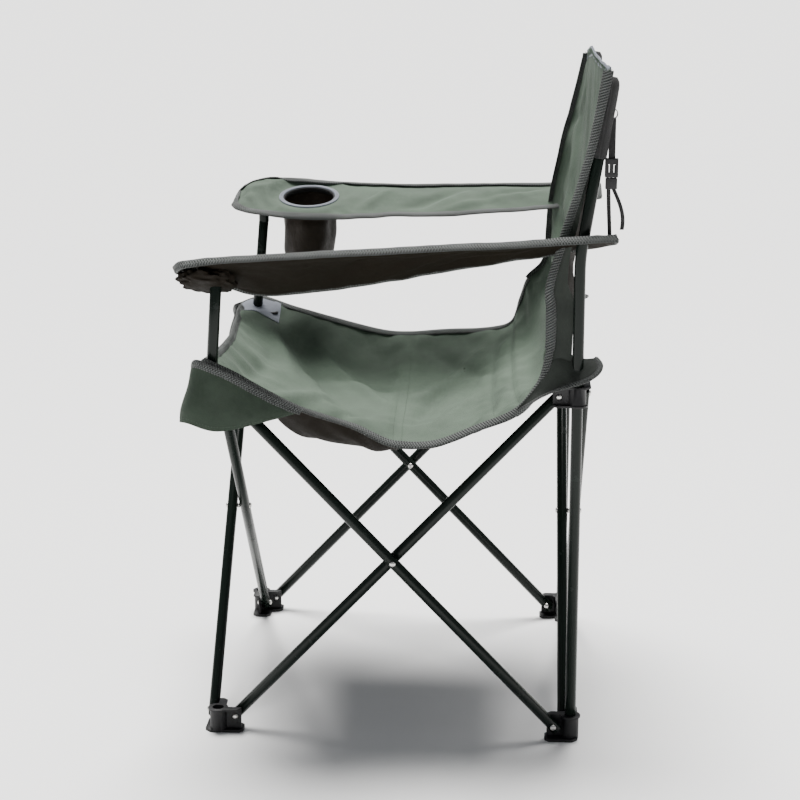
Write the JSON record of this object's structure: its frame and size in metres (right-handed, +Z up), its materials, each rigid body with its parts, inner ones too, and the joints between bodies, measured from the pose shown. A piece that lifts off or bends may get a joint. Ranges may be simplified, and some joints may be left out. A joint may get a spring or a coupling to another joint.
{
  "type": "folding camp chair",
  "caption": "Folding fabric camp chair on crossed steel tubes, with arms, a cup holder in one arm and a buckle strap at the back.",
  "frame": {"origin": "on the ground, below the middle of the open chair's bounding box", "axes": "+Z up; +X to the sitter's left; -Y the way the sitter faces"},
  "size_m": [0.648, 0.616, 0.976],
  "materials": {
    "tube": "glossy dark green enamel on steel tube",
    "plastic": "black moulded plastic, satin",
    "zinc": "bright zinc-plated rivet",
    "canvas": "sage green woven polyester",
    "lining": "dark brown coated woven polyester",
    "binding": "grey ribbed binding tape",
    "webbing": "black woven webbing"
  },
  "bodies": {
    "back_left_post": {"foot_back_left": "plastic", "post_back_left": "tube", "rivet_left_rear_foot_low": "zinc", "rivet_back_left_foot_low": "zinc"},
    "left_brace_rising_forward": {"brace_left_rear_foot": "tube", "rivet_left_middle": "zinc"},
    "left_brace_rising_back": {"brace_left_front_foot": "tube"},
    "front_left_hub": {"hub_front_left": "plastic", "arm_post_left": "tube", "rivet_left_rear_foot_top": "zinc", "rivet_front_right_foot_top": "zinc", "corner_flap_left": "canvas"},
    "front_left_foot": {"foot_front_left": "plastic", "rivet_left_front_foot_low": "zinc", "rivet_front_left_foot_low": "zinc"},
    "back_left_slider": {"slider_back_left": "plastic", "rivet_left_front_foot_top": "zinc", "rivet_back_right_foot_top": "zinc"},
    "back_brace_from_left": {"brace_back_left_foot": "tube", "rivet_back_middle": "zinc"},
    "back_brace_from_right": {"brace_back_right_foot": "tube"},
    "back_right_slider": {"slider_back_right": "plastic", "rivet_back_left_foot_top": "zinc", "rivet_right_front_foot_top": "zinc"},
    "back_right_post": {"foot_back_right": "plastic", "post_back_right": "tube", "rivet_back_right_foot_low": "zinc", "rivet_right_rear_foot_low": "zinc"},
    "right_brace_rising_forward": {"brace_right_rear_foot": "tube", "rivet_right_middle": "zinc"},
    "right_brace_rising_back": {"brace_right_front_foot": "tube"},
    "front_right_hub": {"hub_front_right": "plastic", "arm_post_right": "tube", "rivet_right_rear_foot_top": "zinc", "rivet_front_left_foot_top": "zinc", "corner_flap_right": "canvas"},
    "front_right_foot": {"foot_front_right": "plastic", "rivet_right_front_foot_low": "zinc", "rivet_front_right_foot_low": "zinc"},
    "front_brace_from_left": {"brace_front_left_foot": "tube", "rivet_front_middle": "zinc"},
    "front_brace_from_right": {"brace_front_right_foot": "tube"},
    "seat_front_left_quarter": {"seat_front_left": "canvas"},
    "seat_front_right_quarter": {"seat_front_right": "canvas"},
    "seat_back_left_quarter": {"seat_back_left": "canvas"},
    "seat_back_right_quarter": {"seat_back_right": "canvas"},
    "back_left_half": {"back_left": "canvas"},
    "back_right_half": {"back_right": "canvas"},
    "left_arm_front": {"arm_left_front": "canvas"},
    "left_arm_rear": {"arm_left_rear": "canvas"},
    "right_arm_front": {"arm_right_front": "canvas", "cup_ring": "binding", "cup_pocket": "lining"},
    "right_arm_rear": {"arm_right_rear": "canvas"},
    "buckle_strap": {"strap_loop": "webbing", "buckle_socket": "plastic"},
    "buckle_clip_half": {"buckle_clip": "plastic", "strap_tail_front": "webbing", "strap_tail_rear": "webbing"}
  },
  "joints": [
    {"name": "fold", "type": "hinge", "parent": "back_left_post", "child": "left_brace_rising_forward", "pos_m": [0.258, 0.233, 0.022], "axis": [-1, 0, 0], "range_deg": [0, 39.5]},
    {"name": "left_scissor", "type": "hinge", "parent": "left_brace_rising_forward", "child": "left_brace_rising_back", "pos_m": [0.258, 0, 0.267], "axis": [1, 0, 0], "range_deg": [0, 79.01]},
    {"name": "front_left_hub_pin", "type": "hinge", "parent": "left_brace_rising_forward", "child": "front_left_hub", "pos_m": [0.258, -0.233, 0.512], "axis": [1, 0, 0], "range_deg": [0, 39.51]},
    {"name": "front_left_foot_pin", "type": "hinge", "parent": "left_brace_rising_back", "child": "front_left_foot", "pos_m": [0.258, -0.233, 0.022], "axis": [-1, 0, 0], "range_deg": [0, 39.51]},
    {"name": "back_left_slider_pin", "type": "hinge", "parent": "left_brace_rising_back", "child": "back_left_slider", "pos_m": [0.258, 0.233, 0.512], "axis": [-1, 0, 0], "range_deg": [0, 39.51]},
    {"name": "back_left_foot_pin", "type": "hinge", "parent": "back_left_post", "child": "back_brace_from_left", "pos_m": [0.233, 0.258, 0.022], "axis": [0, 1, 0], "range_deg": [0, 39.51]},
    {"name": "back_scissor", "type": "hinge", "parent": "back_brace_from_left", "child": "back_brace_from_right", "pos_m": [0, 0.258, 0.267], "axis": [0, -1, 0], "range_deg": [0, 79.01]},
    {"name": "back_right_slider_pin", "type": "hinge", "parent": "back_brace_from_left", "child": "back_right_slider", "pos_m": [-0.233, 0.258, 0.512], "axis": [0, -1, 0], "range_deg": [0, 39.51]},
    {"name": "back_right_foot_pin", "type": "hinge", "parent": "back_brace_from_right", "child": "back_right_post", "pos_m": [-0.233, 0.258, 0.022], "axis": [0, 1, 0], "range_deg": [0, 39.51]},
    {"name": "right_foot_pin", "type": "hinge", "parent": "back_right_post", "child": "right_brace_rising_forward", "pos_m": [-0.258, 0.233, 0.022], "axis": [-1, 0, 0], "range_deg": [0, 39.51]},
    {"name": "right_scissor", "type": "hinge", "parent": "right_brace_rising_forward", "child": "right_brace_rising_back", "pos_m": [-0.258, 0, 0.267], "axis": [1, 0, 0], "range_deg": [0, 79.01]},
    {"name": "front_right_hub_pin", "type": "hinge", "parent": "right_brace_rising_forward", "child": "front_right_hub", "pos_m": [-0.258, -0.233, 0.512], "axis": [1, 0, 0], "range_deg": [0, 39.51]},
    {"name": "front_right_foot_pin", "type": "hinge", "parent": "right_brace_rising_back", "child": "front_right_foot", "pos_m": [-0.258, -0.233, 0.022], "axis": [-1, 0, 0], "range_deg": [0, 39.51]},
    {"name": "front_left_foot_brace_pin", "type": "hinge", "parent": "front_left_foot", "child": "front_brace_from_left", "pos_m": [0.233, -0.258, 0.022], "axis": [0, 1, 0], "range_deg": [0, 39.51]},
    {"name": "front_scissor", "type": "hinge", "parent": "front_brace_from_left", "child": "front_brace_from_right", "pos_m": [0, -0.258, 0.267], "axis": [0, -1, 0], "range_deg": [0, 79.01]},
    {"name": "seat_front_left_drop", "type": "hinge", "parent": "front_left_hub", "child": "seat_front_left_quarter", "pos_m": [0.258, -0.258, 0.535], "axis": [-0.7071, -0.7071, 0], "range_deg": [0, 79.08], "deforming": ["seat_front_left"]},
    {"name": "seat_front_right_drop", "type": "hinge", "parent": "front_right_hub", "child": "seat_front_right_quarter", "pos_m": [-0.258, -0.258, 0.535], "axis": [-0.7071, 0.7071, 0], "range_deg": [0, 79.08], "deforming": ["seat_front_right"]},
    {"name": "seat_back_left_drop", "type": "hinge", "parent": "back_left_slider", "child": "seat_back_left_quarter", "pos_m": [0.258, 0.258, 0.535], "axis": [0.7071, -0.7071, 0], "range_deg": [0, 79.08], "deforming": ["seat_back_left"]},
    {"name": "seat_back_right_drop", "type": "hinge", "parent": "back_right_slider", "child": "seat_back_right_quarter", "pos_m": [-0.258, 0.258, 0.535], "axis": [0.7071, 0.7071, 0], "range_deg": [0, 79.08], "deforming": ["seat_back_right"]},
    {"name": "back_left_pleat", "type": "hinge", "parent": "back_left_post", "child": "back_left_half", "pos_m": [0.258, 0.258, 0.515], "axis": [0, 0, -1], "range_deg": [0, 79.08], "deforming": ["back_left"]},
    {"name": "back_right_pleat", "type": "hinge", "parent": "back_right_post", "child": "back_right_half", "pos_m": [-0.258, 0.258, 0.515], "axis": [0, 0, 1], "range_deg": [0, 79.08], "deforming": ["back_right"]},
    {"name": "left_arm_front_drop", "type": "hinge", "parent": "front_left_hub", "child": "left_arm_front", "pos_m": [0.27, -0.2445, 0.68], "axis": [-0.9748, 0, -0.2231], "range_deg": [0, 80.52], "deforming": ["arm_left_front"]},
    {"name": "left_arm_rear_drop", "type": "hinge", "parent": "back_left_post", "child": "left_arm_rear", "pos_m": [0.258, 0.258, 0.735], "axis": [0.8987, 0, 0.4386], "range_deg": [0, 80.03], "deforming": ["arm_left_rear"]},
    {"name": "right_arm_front_drop", "type": "hinge", "parent": "front_right_hub", "child": "right_arm_front", "pos_m": [-0.27, -0.2445, 0.68], "axis": [-0.9748, 0, 0.2231], "range_deg": [0, 80.52], "deforming": ["arm_right_front", "cup_pocket"]},
    {"name": "right_arm_rear_drop", "type": "hinge", "parent": "back_right_post", "child": "right_arm_rear", "pos_m": [-0.258, 0.258, 0.735], "axis": [0.8987, 0, -0.4386], "range_deg": [0, 80.03], "deforming": ["arm_right_rear"]},
    {"name": "strap_swing", "type": "hinge", "parent": "back_left_post", "child": "buckle_strap", "pos_m": [0.258, 0.2975, 0.9], "axis": [1, 0, 0], "range_deg": [0, 70]},
    {"name": "buckle_release", "type": "slide", "parent": "buckle_strap", "child": "buckle_clip_half", "axis": [0, 0, -1], "range_m": [0, 0.022]}
  ],
  "couplings": [
    {"joint": "left_scissor", "follows": "fold", "ratio": 2},
    {"joint": "front_left_hub_pin", "follows": "fold", "ratio": 1},
    {"joint": "front_left_foot_pin", "follows": "fold", "ratio": 1},
    {"joint": "back_left_slider_pin", "follows": "fold", "ratio": 1},
    {"joint": "back_left_foot_pin", "follows": "fold", "ratio": 1},
    {"joint": "back_scissor", "follows": "fold", "ratio": 2},
    {"joint": "back_right_slider_pin", "follows": "fold", "ratio": 1},
    {"joint": "back_right_foot_pin", "follows": "fold", "ratio": 1},
    {"joint": "right_foot_pin", "follows": "fold", "ratio": 1},
    {"joint": "right_scissor", "follows": "fold", "ratio": 2},
    {"joint": "front_right_hub_pin", "follows": "fold", "ratio": 1},
    {"joint": "front_right_foot_pin", "follows": "fold", "ratio": 1},
    {"joint": "front_left_foot_brace_pin", "follows": "fold", "ratio": 1},
    {"joint": "front_scissor", "follows": "fold", "ratio": 2},
    {"joint": "seat_front_left_drop", "follows": "fold", "ratio": 2.0016},
    {"joint": "seat_front_right_drop", "follows": "fold", "ratio": 2.0016},
    {"joint": "seat_back_left_drop", "follows": "fold", "ratio": 2.0016},
    {"joint": "seat_back_right_drop", "follows": "fold", "ratio": 2.0016},
    {"joint": "back_left_pleat", "follows": "fold", "ratio": 2.0016},
    {"joint": "back_right_pleat", "follows": "fold", "ratio": 2.0016},
    {"joint": "left_arm_front_drop", "follows": "fold", "ratio": 2.038},
    {"joint": "left_arm_rear_drop", "follows": "fold", "ratio": 2.0257},
    {"joint": "right_arm_front_drop", "follows": "fold", "ratio": 2.038},
    {"joint": "right_arm_rear_drop", "follows": "fold", "ratio": 2.0257}
  ]
}
